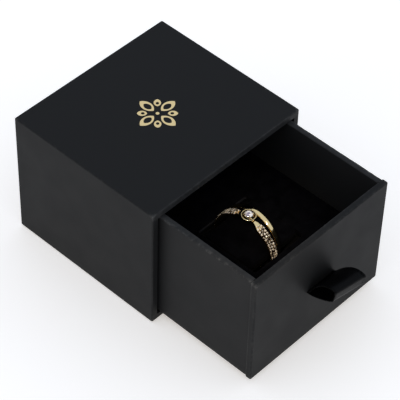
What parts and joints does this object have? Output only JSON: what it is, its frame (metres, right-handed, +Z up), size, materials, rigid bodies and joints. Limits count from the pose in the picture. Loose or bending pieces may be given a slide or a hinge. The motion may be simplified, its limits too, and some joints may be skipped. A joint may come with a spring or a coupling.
{
  "type": "ring box with drawer",
  "caption": "Small rigid sleeve box with a pull-out drawer, satin ribbon pull and velvet insert whose tongue holds a ring.",
  "frame": {"origin": "middle of the sleeve's underside, on the surface that the box stands on", "axes": "+Z up, -Y out of the mouth, the way that the drawer opens, +X to the right seen from the drawer front"},
  "size_m": [0.055, 0.0934, 0.0405],
  "materials": {
    "greyboard": "matte",
    "black_paper": "matte",
    "black_velvet": "matte",
    "black_foam": "matte",
    "black_satin": "satin",
    "gold_foil": "polished",
    "gold": "polished",
    "clear_stone": "gloss"
  },
  "bodies": {
    "sleeve": {"sleeve_back_board": "greyboard", "sleeve_bottom_board": "greyboard", "sleeve_top_board": "greyboard", "sleeve_left_board": "greyboard", "sleeve_right_board": "greyboard", "sleeve_wrap_paper": "black_paper", "sleeve_base_paper": "black_paper", "sleeve_lining_paper": "black_paper", "foil_ornament": "gold_foil"},
    "drawer": {"drawer_front_board": "greyboard", "drawer_front_paper": "black_paper", "drawer_front_lining": "black_paper", "drawer_left_board": "greyboard", "drawer_right_board": "greyboard", "drawer_back_board": "greyboard", "drawer_floor_board": "greyboard", "drawer_wrap_paper": "black_paper", "drawer_floor_paper": "black_paper", "insert_foam_block": "black_foam", "insert_pad": "black_foam", "insert_pad_velvet": "black_velvet", "ribbon_tails": "black_satin"},
    "tongue": {"tongue_foam": "black_foam", "tongue_velvet": "black_velvet"},
    "ring": {"ring_stone_band": "gold", "ring_plain_band": "gold", "ring_collar": "gold", "ring_claws": "gold", "ring_centre_stone": "clear_stone", "ring_small_stones": "clear_stone"},
    "ribbon": {"ribbon_loop": "black_satin"}
  },
  "joints": [
    {"name": "drawer_slide", "type": "slide", "parent": "sleeve", "child": "drawer", "axis": [0, -1, 0], "range_m": [-0.0326, 0.019]},
    {"name": "tongue_flex", "type": "hinge", "parent": "drawer", "child": "tongue", "pos_m": [0.0095, -0.03388, 0.02], "axis": [0, 1, 0], "range_deg": [0, 15], "stiffness_Nm_per_rad": 0.004, "springref_deg": -11.46},
    {"name": "ring_slide", "type": "slide", "parent": "tongue", "child": "ring", "axis": [-1, 0, 0], "range_m": [-0.007, 0.0038]},
    {"name": "ribbon_swing", "type": "hinge", "parent": "drawer", "child": "ribbon", "pos_m": [0.0006, -0.0585, 0.01975], "axis": [-1, 0, 0], "range_deg": [-100, 40], "stiffness_Nm_per_rad": 0.00001}
  ]
}
